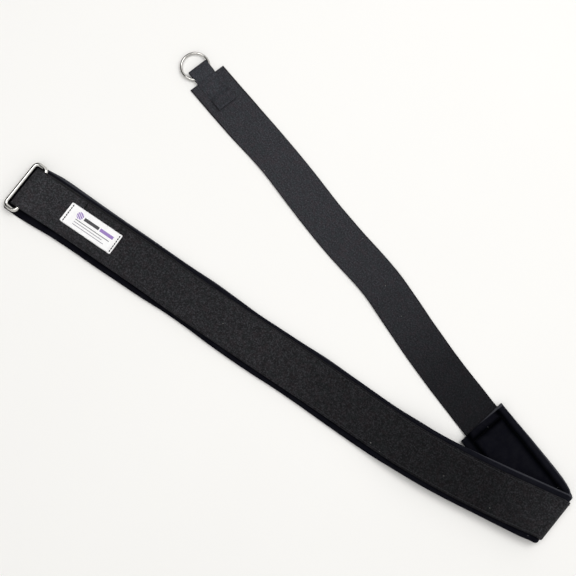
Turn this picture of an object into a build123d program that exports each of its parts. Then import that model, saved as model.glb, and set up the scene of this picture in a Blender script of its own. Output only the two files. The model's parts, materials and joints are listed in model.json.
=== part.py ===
from build123d import *
import os
from math import cos, pi, radians, sin

# Gait belt, lying on a level surface and folded once into a narrow V.
# Millimetres and degrees, +Z up. The origin is the centre of the belt's
# bounding box, at the height of the surface that it lies on.

os.makedirs("parts", exist_ok=True)

# ---- driving dimensions: materials --------------------------------------
WEBBING_WIDTH = 50.0
WEBBING_THICK = 2.0
PAD_WIDTH = 60.0
PAD_THICK = 5.0
PAD_SKIN = 0.6
STRAP_WIDTH = 47.0
STRAP_THICK = 1.6
TAB_WIDTH = 25.0
TAB_THICK = 1.4
THREAD_WIDTH = 0.9
THREAD_HEIGHT = 0.3
LABEL_LENGTH = 68.0
LABEL_WIDTH = 25.5
LABEL_THICK = 0.35
LABEL_BACK = 92.2
LABEL_OFFSET = 3.0
LABEL_THREAD_INSET = 3.0
EDGE_THREAD_INSET = 2.5
EDGE_THREAD_START = 6.0
LOOP_WIRE = 5.2
RING_WIRE = 3.0

# ---- driving dimensions: how the belt lies ------------------------------
FOLD_POINT = (277.0, -248.9)
ARM_HEADING = 156.2
ARM_TURN = -10.5
ARM_NEAR_LENGTH = 87.0
ARM_TURN_LENGTH = 107.0
ARM_FAR_LENGTH = 476.0
ARM_DRIFT = 3.5
ARM_DRIFT_START = 40.0
ARM_DRIFT_END = 150.0
LOOP_SLANT = -2.0
RETURN_HEADING = 127.5
RETURN_LENGTH = 119.7
RETURN_DRIFT = 8.0
RETURN_DRIFT_END = 22.0
PADDED_END_SLANT = 5.0
STRAP_HEADING_LOWER = 125.2
STRAP_LENGTH_LOWER = 169.6
STRAP_HEADING_UPPER = 129.0
STRAP_LENGTH_UPPER = 314.4
FRAME_SHIFT = (9.522, 0.594)

# ---- driving dimensions: the belt's fold --------------------------------
FOLD_GAP_RADIUS = 1.5
JOINT_GAP = 0.5
FOLD_DIRECTION = (ARM_HEADING - 180.0 + RETURN_HEADING) / 2.0
FOLD_HEIGHT = WEBBING_THICK + PAD_THICK + FOLD_GAP_RADIUS
ARM_REST_OVER_PAD = 8.0
ARM_LEVEL_END = 30.0
ARM_PLATEAU_END = 134.0
ARM_TOUCHDOWN = 237.0
TURN_STEPS = 3
DROP_STEPS = 8

# ---- driving dimensions: the wire loop and its sleeve -------------------
LOOP_LENGTH = 63.6
LOOP_OFFSET = -0.5
LOOP_BAR_SPACING = 15.0
LOOP_CORNER = 5.0
SLEEVE_CLEARANCE = 0.7
SLEEVE_NOSE_REACH = 11.2
SLEEVE_NOSE_RADIUS = 1.2
SLEEVE_TAIL = 44.0
SLEEVE_CLOSE = 18.0
PAD_END_REACH = 17.8
PAD_END_THICK = 2.5
PAD_TAPER = 20.0
PAD_TAPER_END = 2.0
CORE_SETBACK = 10.0
SLEEVE_ROOT = 6.0
SLANT_LENGTH = 60.0
SLEEVE_SLOPE = 2.0
SLEEVE_SHOULDER = 0.4
SLEEVE_THREAD_FRONT = 21.0
SLEEVE_THREAD_BACK = 38.0
SLEEVE_THREAD_LENGTH = 44.0

# ---- driving dimensions: strap joint, tab and ring ----------------------
STRAP_SEWN_LENGTH = 45.0
STRAP_FLEX_REACH = 12.0
WEBBING_SETBACK = 3.0
PAD_STEP = 6.0
PAD_STEP_CLEARANCE = 1.0
PAD_END_SEAM = 2.0
PAD_THREAD_INSET = 9.0
PAD_THREAD_START = 24.0
THREAD_GAP = 0.3
FLEX_DROP_END = 3.0
TAB_PROTRUSION = 17.6
TAB_TAIL = 40.8
TAB_OPEN = 2.2
TAB_SLIT = 0.1
TAB_THREAD_INSET = 2.0
TAB_THREAD_NEAR = 6.0
RING_RADIUS = 16.1
RING_REACH = 18.9
RING_OFFSET = -1.6
RING_CLEARANCE = 0.4

# ---- heights that follow ------------------------------------------------
ARM_TOP = PAD_THICK + WEBBING_THICK
LOOP_RADIUS = LOOP_WIRE / 2.0
SLEEVE_INNER = LOOP_RADIUS + SLEEVE_CLEARANCE
SLEEVE_OUTER = SLEEVE_INNER + WEBBING_THICK
LOOP_HEIGHT = PAD_END_THICK + SLEEVE_OUTER
RETURN_TOP = WEBBING_THICK + PAD_THICK
TAB_INNER = RING_WIRE / 2.0 + RING_CLEARANCE
RING_HEIGHT = TAB_THICK + TAB_INNER
TAIL_TOP = STRAP_THICK + 2.0 * TAB_THICK
ARM_LENGTH = ARM_NEAR_LENGTH + ARM_TURN_LENGTH + ARM_FAR_LENGTH
LABEL_CENTRE = ARM_LENGTH + SLEEVE_NOSE_REACH - LABEL_BACK
HINGE_LIFT = 0.15


# ---- plan geometry -------------------------------------------------------
def heading(angle):
    """Unit vector in the plan at an angle from +X."""
    return Vector(cos(radians(angle)), sin(radians(angle)), 0.0)


def at_height(point, z):
    """The plan point lifted to height z."""
    return Vector(point.X, point.Y, z)


def fold_point():
    """Plan place of the fold's axis on the belt's centre line."""
    return Vector(FOLD_POINT[0] + FRAME_SHIFT[0], FOLD_POINT[1] + FRAME_SHIFT[1], 0.0)


def arm_angle(t):
    """Heading of the padded arm, t mm from the fold towards the loop."""
    turned = min(max((t - ARM_NEAR_LENGTH) / ARM_TURN_LENGTH, 0.0), 1.0)
    return ARM_HEADING + ARM_TURN * turned


def ease(x):
    """Smooth step from 0 to 1."""
    x = min(max(x, 0.0), 1.0)
    return x * x * (3.0 - 2.0 * x)


def arm_point(t):
    """Point on the padded arm's centre line, t mm from the fold."""
    drift = ARM_DRIFT * ease((t - ARM_DRIFT_START) / (ARM_DRIFT_END - ARM_DRIFT_START))
    point = fold_point() + heading(ARM_HEADING) * min(t, ARM_NEAR_LENGTH)
    point = point + heading(ARM_HEADING - 90.0) * drift
    if t > ARM_NEAR_LENGTH:
        radius = ARM_TURN_LENGTH / radians(abs(ARM_TURN))
        angle = arm_angle(t)
        start = heading(ARM_HEADING + 90.0)
        point = point - start * radius + heading(angle + 90.0) * radius
    if t > ARM_NEAR_LENGTH + ARM_TURN_LENGTH:
        point = point + heading(angle) * (t - ARM_NEAR_LENGTH - ARM_TURN_LENGTH)
    return point


def arm_rise(t):
    """Height of the pad's underside above the surface, t mm from the fold."""
    start = FOLD_HEIGHT + FOLD_GAP_RADIUS
    if t < ARM_PLATEAU_END:
        share = max(t - ARM_LEVEL_END, 0.0) / (ARM_PLATEAU_END - ARM_LEVEL_END)
        return start + (ARM_REST_OVER_PAD - start) * share
    if t < ARM_TOUCHDOWN:
        share = (t - ARM_PLATEAU_END) / (ARM_TOUCHDOWN - ARM_PLATEAU_END)
        return ARM_REST_OVER_PAD * (1.0 + cos(pi * share)) / 2.0
    return 0.0


def fold_side():
    """Sideways vector along the fold line, for a belt crossing it at a slant."""
    slant = radians(ARM_HEADING - 90.0 - FOLD_DIRECTION)
    return heading(FOLD_DIRECTION) * (1.0 / cos(slant))


def return_point(t):
    """Point on the returned section's centre line, which eases sideways as it leaves the fold."""
    drift = RETURN_DRIFT * min(t / RETURN_DRIFT_END, 1.0)
    return fold_point() + heading(FOLD_DIRECTION) * drift + heading(RETURN_HEADING) * t


def flex_point():
    """Plan place where the strap flexes, just beyond the padded end."""
    return return_point(RETURN_LENGTH + STRAP_FLEX_REACH)


def bend_point():
    """Plan place where the strap kinks sideways."""
    return flex_point() + heading(STRAP_HEADING_LOWER) * STRAP_LENGTH_LOWER


def strap_end():
    """Plan place of the strap's free end."""
    return bend_point() + heading(STRAP_HEADING_UPPER) * STRAP_LENGTH_UPPER


# ---- solids --------------------------------------------------------------
def ribbon(rows, width):
    """Flat soft piece through upright sections.

    Each row is (centre point, sideways vector, underside height, top height).
    """
    half = width / 2.0
    sections = []
    for point, side, low, high in rows:
        left = point + side * half
        right = point - side * half
        corners = [at_height(left, low), at_height(right, low)]
        corners += [at_height(right, high), at_height(left, high)]
        sections.append(Face(Wire.make_polygon(corners)))
    return loft(sections, ruled=True)


def arm_row(t, low, high):
    """One upright section of the arm, with its layer's heights above the pad's underside."""
    side = heading(arm_angle(t) - 90.0)
    if t <= JOINT_GAP:
        side = fold_side()
    if t >= ARM_LENGTH - SLANT_LENGTH:
        side = loop_side()
    return (arm_point(t), side, arm_rise(t) + low, arm_rise(t) + high)


def arm_steps(end):
    """Distances along the arm that its shape needs, up to an end."""
    steps = [JOINT_GAP, ARM_LEVEL_END]
    turn = ARM_PLATEAU_END - ARM_NEAR_LENGTH
    steps += [ARM_NEAR_LENGTH + turn * i / TURN_STEPS for i in range(TURN_STEPS)]
    drop = ARM_TOUCHDOWN - ARM_PLATEAU_END
    steps += [ARM_PLATEAU_END + drop * i / DROP_STEPS for i in range(DROP_STEPS + 1)]
    return steps + [end]


def pad_top(t):
    """Thickness of the arm's pad, thinned where it is sewn down beside the loop."""
    start = ARM_LENGTH - PAD_TAPER
    if t < start:
        return PAD_THICK
    share = min((t - start) / (PAD_TAPER - PAD_TAPER_END), 1.0)
    return PAD_THICK + (PAD_END_THICK - PAD_THICK) * share


def arm_pad_cover():
    """Velour cover: a flat tube round the foam, closed at the loop's end."""
    full = ARM_LENGTH - PAD_TAPER
    steps = arm_steps(full) + [ARM_LENGTH - PAD_TAPER_END, ARM_LENGTH + PAD_END_REACH]
    outer = ribbon([arm_row(t, 0.0, pad_top(t)) for t in steps], PAD_WIDTH)
    return outer - arm_pad_core()


def arm_pad_core():
    """Foam core of the arm's pad."""
    steps = arm_steps(ARM_LENGTH - PAD_TAPER) + [ARM_LENGTH - CORE_SETBACK]
    rows = [arm_row(t, PAD_SKIN, pad_top(t) - PAD_SKIN) for t in steps]
    return ribbon(rows, PAD_WIDTH - 2.0 * PAD_SKIN)


def loop_side():
    """Direction of the loop's bars, a little off square to the arm."""
    return heading(arm_angle(ARM_LENGTH) - 90.0 + LOOP_SLANT)


def sleeve_plane():
    """Upright plane through the arm's centre line at the loop's inner bar, X towards the loop."""
    forward = heading(arm_angle(ARM_LENGTH))
    across = heading(arm_angle(ARM_LENGTH) - 90.0)
    return Plane(origin=arm_point(ARM_LENGTH), x_dir=forward, z_dir=across)


def capsule(big, small):
    """Outline round the loop's bar and the sleeve's nose, as two circles and their hull."""
    nose = SLEEVE_NOSE_REACH - SLEEVE_NOSE_RADIUS - WEBBING_THICK
    with BuildSketch() as sketch:
        with Locations((0.0, LOOP_HEIGHT)):
            Circle(big)
        with Locations((nose, LOOP_HEIGHT)):
            Circle(small)
        make_hull()
    return sketch.sketch


def sleeve():
    """The webbing's end, turned round the loop's inner bar and back under itself."""
    back = [
        (-SLEEVE_TAIL - SLEEVE_ROOT, PAD_THICK),
        (-SLEEVE_TAIL - SLEEVE_ROOT, ARM_TOP),
        (-SLEEVE_TAIL - SLEEVE_SLOPE, ARM_TOP),
        (-SLEEVE_TAIL + SLEEVE_SLOPE, ARM_TOP + WEBBING_THICK),
        (-SLEEVE_CLOSE, ARM_TOP + WEBBING_THICK),
        (-SLEEVE_SLOPE, LOOP_HEIGHT + SLEEVE_OUTER - SLEEVE_SHOULDER),
        (0.0, LOOP_HEIGHT),
        (-PAD_TAPER_END, PAD_END_THICK),
        (-PAD_TAPER, PAD_THICK),
    ]
    shape = Polygon(*back, align=None) + capsule(SLEEVE_OUTER, SLEEVE_NOSE_RADIUS + WEBBING_THICK)
    shape = shape - capsule(SLEEVE_INNER, SLEEVE_NOSE_RADIUS)
    return extrude(sleeve_plane() * shape, WEBBING_WIDTH / 2.0, dir=loop_side(), both=True)


def arm_webbing():
    """Wide webbing on the padded arm, with the sleeve that holds the loop."""
    end = ARM_LENGTH - SLEEVE_TAIL - SLEEVE_ROOT
    rows = [arm_row(t, PAD_THICK, ARM_TOP) for t in arm_steps(end)]
    return ribbon(rows, WEBBING_WIDTH) + sleeve()


def arm_block(t0, t1, offset, width, low, high):
    """Straight strip on the arm between two distances from the fold, beside its centre line."""
    rows = []
    for t in (t0, t1):
        side = heading(arm_angle(t) - 90.0)
        rows.append((arm_point(t) + side * offset, side, low, high))
    return ribbon(rows, width)


def edge_stitching(sign):
    """Thread along one long edge of the wide webbing, on its outer face."""
    offset = sign * (WEBBING_WIDTH / 2.0 - EDGE_THREAD_INSET)
    end = ARM_LENGTH - SLEEVE_TAIL - SLEEVE_ROOT
    rows = []
    for t in [EDGE_THREAD_START] + arm_steps(end)[1:]:
        point, side, low, high = arm_row(t, ARM_TOP, ARM_TOP + THREAD_HEIGHT)
        rows.append((point + side * offset, side, low, high))
    return ribbon(rows, THREAD_WIDTH)


def arm_stitching_upper():
    """Edge thread on the side away from the strap's fold."""
    return edge_stitching(-1.0)


def arm_stitching_lower():
    """Edge thread on the other side."""
    return edge_stitching(1.0)


def sleeve_stitching():
    """Two rows of thread across the webbing, behind the loop's bar."""
    low = ARM_TOP + WEBBING_THICK
    high = low + THREAD_HEIGHT
    rows = []
    for back in (SLEEVE_THREAD_FRONT, SLEEVE_THREAD_BACK):
        t = ARM_LENGTH - back
        rows.append(arm_block(t, t + THREAD_WIDTH, 0.0, SLEEVE_THREAD_LENGTH, low, high))
    return Compound(children=rows)


def label_solid():
    """Woven satin label on the wide webbing."""
    start = LABEL_CENTRE - LABEL_LENGTH / 2.0
    end = LABEL_CENTRE + LABEL_LENGTH / 2.0
    return arm_block(start, end, LABEL_OFFSET, LABEL_WIDTH, ARM_TOP, ARM_TOP + LABEL_THICK)


def label_stitching():
    """Thread across each short end of the label."""
    reach = LABEL_LENGTH / 2.0 - LABEL_THREAD_INSET
    width = LABEL_WIDTH - LABEL_THREAD_INSET
    low = ARM_TOP + LABEL_THICK
    high = low + THREAD_HEIGHT
    rows = []
    for t in (LABEL_CENTRE - reach, LABEL_CENTRE + reach - THREAD_WIDTH):
        rows.append(arm_block(t, t + THREAD_WIDTH, LABEL_OFFSET, width, low, high))
    return Compound(children=rows)


def wire_loop():
    """Rectangular loop of round wire: inner bar in the sleeve, outer bar in front of it."""
    across = loop_side()
    forward = heading(arm_angle(ARM_LENGTH) + LOOP_SLANT)
    middle = arm_point(ARM_LENGTH) + forward * (LOOP_BAR_SPACING / 2.0) + across * LOOP_OFFSET
    middle = at_height(middle, LOOP_HEIGHT)
    flat = Plane(origin=middle, x_dir=across, z_dir=(0, 0, 1))
    path = flat * RectangleRounded(LOOP_LENGTH - LOOP_WIRE, LOOP_BAR_SPACING, LOOP_CORNER)
    wire = path.faces()[0].outer_wire()
    start = wire @ 0
    section = Plane(origin=start, z_dir=wire % 0) * Circle(LOOP_RADIUS)
    return sweep(section, path=wire)


def fold_bend(inner, outer, width):
    """Half turn of one layer round the fold line."""
    axis = Axis(at_height(fold_point(), FOLD_HEIGHT), heading(FOLD_DIRECTION))
    half = fold_side() * (width / 2.0)
    base = at_height(fold_point(), FOLD_HEIGHT)
    up = Vector(0, 0, 1)
    corners = [base - half + up * inner, base + half + up * inner]
    corners += [base + half + up * outer, base - half + up * outer]
    return revolve(Face(Wire.make_polygon(corners)), axis=axis, revolution_arc=180.0)


def return_row(t, low, high):
    """One upright section of the returned section."""
    side = heading(RETURN_HEADING - 90.0)
    if t <= 0.0:
        side = fold_side()
    return (return_point(t), side, low, high)


def return_webbing():
    """Wide webbing under the returned pad."""
    steps = (0.0, RETURN_DRIFT_END, RETURN_LENGTH - WEBBING_SETBACK)
    return ribbon([return_row(t, 0.0, WEBBING_THICK) for t in steps], WEBBING_WIDTH)


def return_pad_rows(inset, end_inset):
    """Sections of the returned pad, whose underside steps up over the sewn-in strap."""
    step = RETURN_LENGTH - STRAP_SEWN_LENGTH - PAD_STEP - PAD_STEP_CLEARANCE
    low = WEBBING_THICK + inset
    high = RETURN_TOP - inset
    end_point = return_point(RETURN_LENGTH - end_inset)
    end_side = heading(RETURN_HEADING - 90.0 + PADDED_END_SLANT)
    return [
        return_row(0.0, low, high),
        return_row(RETURN_DRIFT_END, low, high),
        return_row(step, low, high),
        return_row(step + PAD_STEP, low + STRAP_THICK, high),
        (end_point, end_side, low + STRAP_THICK, high),
    ]


def return_pad_core():
    """Foam core of the returned pad."""
    return ribbon(return_pad_rows(PAD_SKIN, PAD_END_SEAM), PAD_WIDTH - 2.0 * PAD_SKIN)


def return_pad_cover():
    """Velour cover of the returned pad, closed at the belt's padded end."""
    return ribbon(return_pad_rows(0.0, 0.0), PAD_WIDTH) - return_pad_core()


def return_pad_stitching():
    """Thread across the padded end and along both its edges, on the pad's face."""
    low = RETURN_TOP
    high = RETURN_TOP + THREAD_HEIGHT
    side = heading(RETURN_HEADING - 90.0)
    across = PAD_WIDTH - 2.0 * PAD_THREAD_INSET
    cross = RETURN_LENGTH - PAD_THREAD_INSET
    pieces = [ribbon([return_row(cross - THREAD_WIDTH, low, high), return_row(cross, low, high)], across)]
    for sign in (-1.0, 1.0):
        offset = side * (sign * (across - THREAD_WIDTH) / 2.0)
        rows = []
        for t in (PAD_THREAD_START, cross - THREAD_WIDTH - THREAD_GAP):
            rows.append((return_point(t) + offset, side, low, high))
        pieces.append(ribbon(rows, THREAD_WIDTH))
    return Compound(children=pieces)


def strap_sewn_end():
    """The strap's end, sewn in between the webbing and the pad, down to where it flexes."""
    side = heading(RETURN_HEADING - 90.0)
    flex_side = heading((RETURN_HEADING + STRAP_HEADING_LOWER) / 2.0 - 90.0)
    low = WEBBING_THICK
    rows = [
        return_row(RETURN_LENGTH - STRAP_SEWN_LENGTH, low, low + STRAP_THICK),
        return_row(RETURN_LENGTH, low, low + STRAP_THICK),
        (return_point(RETURN_LENGTH + STRAP_FLEX_REACH - FLEX_DROP_END), side, 0.0, STRAP_THICK),
        (return_point(RETURN_LENGTH + STRAP_FLEX_REACH - JOINT_GAP), flex_side, 0.0, STRAP_THICK),
    ]
    return ribbon(rows, STRAP_WIDTH)


def strap_lower():
    """Narrower strap from the padded end to where it bends."""
    along = heading(STRAP_HEADING_LOWER)
    start_side = heading((RETURN_HEADING + STRAP_HEADING_LOWER) / 2.0 - 90.0)
    end_side = heading((STRAP_HEADING_UPPER + STRAP_HEADING_LOWER) / 2.0 - 90.0)
    rows = [
        (flex_point() + along * JOINT_GAP, start_side, 0.0, STRAP_THICK),
        (bend_point() - along * JOINT_GAP, end_side, 0.0, STRAP_THICK),
    ]
    return ribbon(rows, STRAP_WIDTH)


def strap_upper():
    """Narrower strap from its bend to its free end."""
    along = heading(STRAP_HEADING_UPPER)
    start_side = heading((STRAP_HEADING_UPPER + STRAP_HEADING_LOWER) / 2.0 - 90.0)
    rows = [
        (bend_point() + along * JOINT_GAP, start_side, 0.0, STRAP_THICK),
        (strap_end(), heading(STRAP_HEADING_UPPER - 90.0), 0.0, STRAP_THICK),
    ]
    return ribbon(rows, STRAP_WIDTH)


def tab_plane():
    """Upright plane through the tab's centre line, X outwards from the strap's end."""
    return Plane(
        origin=strap_end(),
        x_dir=heading(STRAP_HEADING_UPPER),
        z_dir=heading(STRAP_HEADING_UPPER - 90.0),
    )


def tab_tails():
    """Both tails of the tab, stacked and sewn on the strap's face."""
    middle = STRAP_THICK + TAB_THICK
    layers = []
    for low, high in ((STRAP_THICK, middle), (middle, TAIL_TOP)):
        outline = [(-TAB_TAIL, low), (-TAB_TAIL, high), (-JOINT_GAP, high), (-JOINT_GAP, low)]
        layer = Polygon(*outline, align=None)
        layers.append(extrude(tab_plane() * layer, TAB_WIDTH / 2.0, both=True))
    return Compound(children=layers)


def tab_stitching():
    """Box of thread with a crossed end on the tab's upper tail."""
    side = heading(STRAP_HEADING_UPPER - 90.0)
    along = heading(STRAP_HEADING_UPPER)
    low = TAIL_TOP
    high = TAIL_TOP + THREAD_HEIGHT
    edge = TAB_WIDTH / 2.0 - TAB_THREAD_INSET
    pieces = []
    for back in (TAB_TAIL - TAB_THREAD_INSET, TAB_THREAD_NEAR):
        near = strap_end() - along * back
        rows = [(near, side, low, high), (near + along * THREAD_WIDTH, side, low, high)]
        pieces.append(ribbon(rows, 2.0 * edge))
    for sign in (-1.0, 1.0):
        offset = side * (sign * (edge - THREAD_WIDTH / 2.0))
        rows = []
        for back in (TAB_TAIL - TAB_THREAD_INSET - THREAD_WIDTH - THREAD_GAP, TAB_THREAD_NEAR + THREAD_GAP):
            rows.append((strap_end() - along * back + offset, side, low, high))
        pieces.append(ribbon(rows, THREAD_WIDTH))
    return Compound(children=pieces)


def tab_loop():
    """The tab beyond the strap's end: two layers that open into a pocket for the ring."""
    turn = TAB_INNER + TAB_THICK
    nose = TAB_PROTRUSION - turn
    outline = [
        (JOINT_GAP, STRAP_THICK),
        (JOINT_GAP, TAIL_TOP),
        (TAB_OPEN, RING_HEIGHT + turn),
        (nose, RING_HEIGHT + turn),
        (nose, RING_HEIGHT - turn),
        (TAB_OPEN, RING_HEIGHT - turn),
    ]
    pocket = [
        (JOINT_GAP, STRAP_THICK + TAB_THICK - TAB_SLIT),
        (JOINT_GAP, STRAP_THICK + TAB_THICK + TAB_SLIT),
        (TAB_OPEN, RING_HEIGHT + TAB_INNER),
        (nose, RING_HEIGHT + TAB_INNER),
        (nose, RING_HEIGHT - TAB_INNER),
        (TAB_OPEN, RING_HEIGHT - TAB_INNER),
    ]
    bend = Pos(nose, RING_HEIGHT) * Circle(turn)
    bore = Pos(nose, RING_HEIGHT) * Circle(TAB_INNER)
    shape = Polygon(*outline, align=None) + bend
    shape = shape - Polygon(*pocket, align=None) - bore
    return extrude(tab_plane() * shape, TAB_WIDTH / 2.0, both=True)


def ring_centre():
    """Centre of the ring at rest."""
    forward = heading(STRAP_HEADING_UPPER) * RING_REACH
    side = heading(STRAP_HEADING_UPPER - 90.0) * RING_OFFSET
    return at_height(strap_end() + forward + side, RING_HEIGHT)


def ring():
    """Round wire ring held in the tab."""
    return Location(ring_centre()) * Torus(RING_RADIUS, RING_WIRE / 2.0)


def fold_pad_core():
    """Foam core of the pad, bent round the fold."""
    inner = FOLD_GAP_RADIUS + PAD_SKIN
    return fold_bend(inner, FOLD_GAP_RADIUS + PAD_THICK - PAD_SKIN, PAD_WIDTH - 2.0 * PAD_SKIN)


def fold_pad_cover():
    """Velour cover of the pad, bent round the fold."""
    outer = fold_bend(FOLD_GAP_RADIUS, FOLD_GAP_RADIUS + PAD_THICK, PAD_WIDTH)
    return outer - fold_pad_core()


def fold_webbing():
    """Wide webbing, bent round the outside of the fold."""
    return fold_bend(FOLD_GAP_RADIUS + PAD_THICK, FOLD_HEIGHT, WEBBING_WIDTH)


def report_places():
    """Print the joint places that the record states, in metres."""
    places = {
        "loop bar": (at_height(arm_point(ARM_LENGTH), LOOP_HEIGHT), loop_side()),
        "fold": (at_height(fold_point(), FOLD_HEIGHT), heading(FOLD_DIRECTION)),
        "strap flex": (
            at_height(flex_point(), STRAP_THICK + HINGE_LIFT),
            heading((RETURN_HEADING + STRAP_HEADING_LOWER) / 2.0 - 90.0),
        ),
        "strap bend": (
            at_height(bend_point(), STRAP_THICK + HINGE_LIFT),
            heading((STRAP_HEADING_UPPER + STRAP_HEADING_LOWER) / 2.0 - 90.0),
        ),
        "tab": (at_height(strap_end(), TAIL_TOP + HINGE_LIFT), heading(STRAP_HEADING_UPPER - 90.0)),
        "ring": (ring_centre(), Vector(0, 0, 1)),
    }
    for name, (point, axis) in places.items():
        print(name, [round(c / 1000.0, 6) for c in point], [round(c, 6) for c in axis])


NODES = {
    "arm_webbing": arm_webbing,
    "arm_pad_cover": arm_pad_cover,
    "arm_pad_core": arm_pad_core,
    "arm_stitching_upper": arm_stitching_upper,
    "arm_stitching_lower": arm_stitching_lower,
    "sleeve_stitching": sleeve_stitching,
    "label": label_solid,
    "label_stitching": label_stitching,
    "wire_loop": wire_loop,
    "fold_webbing": fold_webbing,
    "fold_pad_cover": fold_pad_cover,
    "fold_pad_core": fold_pad_core,
    "return_webbing": return_webbing,
    "return_pad_cover": return_pad_cover,
    "return_pad_core": return_pad_core,
    "return_pad_stitching": return_pad_stitching,
    "strap_sewn_end": strap_sewn_end,
    "strap_lower": strap_lower,
    "strap_upper": strap_upper,
    "tab_tails": tab_tails,
    "tab_stitching": tab_stitching,
    "tab_loop": tab_loop,
    "ring": ring,
}


def main():
    low = None
    for name, build in NODES.items():
        shape = build()
        export_step(shape, f"parts/{name}.step")
        box = shape.bounding_box()
        if low is None:
            low, high = box.min, box.max
        low = Vector(min(low.X, box.min.X), min(low.Y, box.min.Y), min(low.Z, box.min.Z))
        high = Vector(max(high.X, box.max.X), max(high.Y, box.max.Y), max(high.Z, box.max.Z))
    print("box", low, high, "centre", (low + high) * 0.5)
    report_places()


main()
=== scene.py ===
import json
import math

import bmesh
import bpy
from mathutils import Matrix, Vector, noise


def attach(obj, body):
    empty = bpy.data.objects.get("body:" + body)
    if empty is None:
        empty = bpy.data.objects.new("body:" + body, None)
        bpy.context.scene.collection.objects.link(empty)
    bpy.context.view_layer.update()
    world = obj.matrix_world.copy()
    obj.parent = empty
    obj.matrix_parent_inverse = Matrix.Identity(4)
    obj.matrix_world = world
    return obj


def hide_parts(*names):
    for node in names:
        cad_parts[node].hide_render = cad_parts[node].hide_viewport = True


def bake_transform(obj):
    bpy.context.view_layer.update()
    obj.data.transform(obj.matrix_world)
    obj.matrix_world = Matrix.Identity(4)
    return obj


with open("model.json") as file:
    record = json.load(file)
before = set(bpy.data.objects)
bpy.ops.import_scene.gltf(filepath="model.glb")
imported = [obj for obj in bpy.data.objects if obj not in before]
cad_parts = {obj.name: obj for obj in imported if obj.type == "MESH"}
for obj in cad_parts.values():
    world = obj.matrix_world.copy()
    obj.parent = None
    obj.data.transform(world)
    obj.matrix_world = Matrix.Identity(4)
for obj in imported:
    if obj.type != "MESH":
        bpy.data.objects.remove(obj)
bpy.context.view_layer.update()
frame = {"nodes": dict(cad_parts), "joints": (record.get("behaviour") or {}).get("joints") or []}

# Gait belt, folded once and laid on a pale floor. Metres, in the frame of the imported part.

# ---- sizes, as in the part
WEBBING_WIDTH = 0.050
WEBBING_THICK = 0.002
PAD_WIDTH = 0.060
PAD_THICK = 0.005
STRAP_WIDTH = 0.047
STRAP_THICK = 0.0016
TAB_WIDTH = 0.025
TAB_THICK = 0.0014
LABEL_LENGTH = 0.0698
LABEL_WIDTH = 0.0255
LABEL_THICK = 0.00035
LABEL_OFFSET = 0.003
LABEL_BACK = 0.081
ARM_NEAR_LENGTH = 0.087
ARM_TURN_LENGTH = 0.107
ARM_DRIFT = 0.0035
ARM_DRIFT_START = 0.040
ARM_DRIFT_END = 0.150
ARM_LEVEL_END = 0.030
ARM_PLATEAU_END = 0.134
ARM_TOUCHDOWN = 0.237
ARM_REST_OVER_PAD = 0.008
FOLD_GAP_RADIUS = 0.0015
RETURN_DRIFT = 0.008
FOLD_DRIFT = 0.0055
RETURN_DRIFT_END = 0.010
RETURN_LENGTH = 0.1197
PADDED_END_SLANT = 5.0
LOOP_SLANT = -2.0
FOLD_SLANT = -2.5
SLANT_LENGTH = 0.060
WEBBING_SETBACK = 0.003
STRAP_SEWN_LENGTH = 0.045
STRAP_FLEX_REACH = 0.012
PAD_END_REACH = 0.0178
PAD_END_CORNER = 0.0045
PAD_END_THICK = 0.0025
PAD_TAPER = 0.020
PAD_TAPER_END = 0.002
SLEEVE_INNER = 0.0033
SLEEVE_NOSE = 0.0088
SLEEVE_NOSE_RADIUS = 0.0004
SLEEVE_TAIL = 0.044
SLEEVE_START = 0.060
SLEEVE_DOUBLED = 0.0505
TAB_TAIL = 0.0408
TAB_NOSE = 0.0143
TAB_INNER = 0.0019
TAB_OPEN = 0.0022
TAB_PRESSED = 0.82
TAB_CURL = 0.0014
WEBBING_HALF = WEBBING_WIDTH / 2.0
PAD_HALF = PAD_WIDTH / 2.0
STRAP_HALF = STRAP_WIDTH / 2.0
TAB_HALF = TAB_WIDTH / 2.0
SEAM = 0.012
PAD_GROOVE = 0.021
PAD_ROUND = 0.0030
CROSS_GROOVE = 0.010
EDGE_ROW = 0.0225
STITCH = 0.0034
FOLD_MIDDLE = FOLD_GAP_RADIUS + PAD_THICK + WEBBING_THICK / 2.0
FOLD_ARC = FOLD_MIDDLE * math.pi
STRAP_BACK = -(STRAP_SEWN_LENGTH + STRAP_FLEX_REACH)
SLEEVE_ROWS = (0.0210, 0.0380)
SLEEVE_ROW_HALF = 0.0215
LABEL_ROW_INSET = 0.003
LABEL_ROW_HALF = 0.0112
TAB_ROW_INSET = 0.0022
TAB_ROW_NEAR = 0.006
TAB_ROW_FAR = 0.0080
TAB_ROW_BOW = 0.0044
CHANNEL_DEPTH = 0.0015
VELOUR_REST = 0.00030


def metres(rows):
    """A table written in millimetres."""
    return tuple(tuple(value / 1000.0 for value in row) for row in rows)


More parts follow.
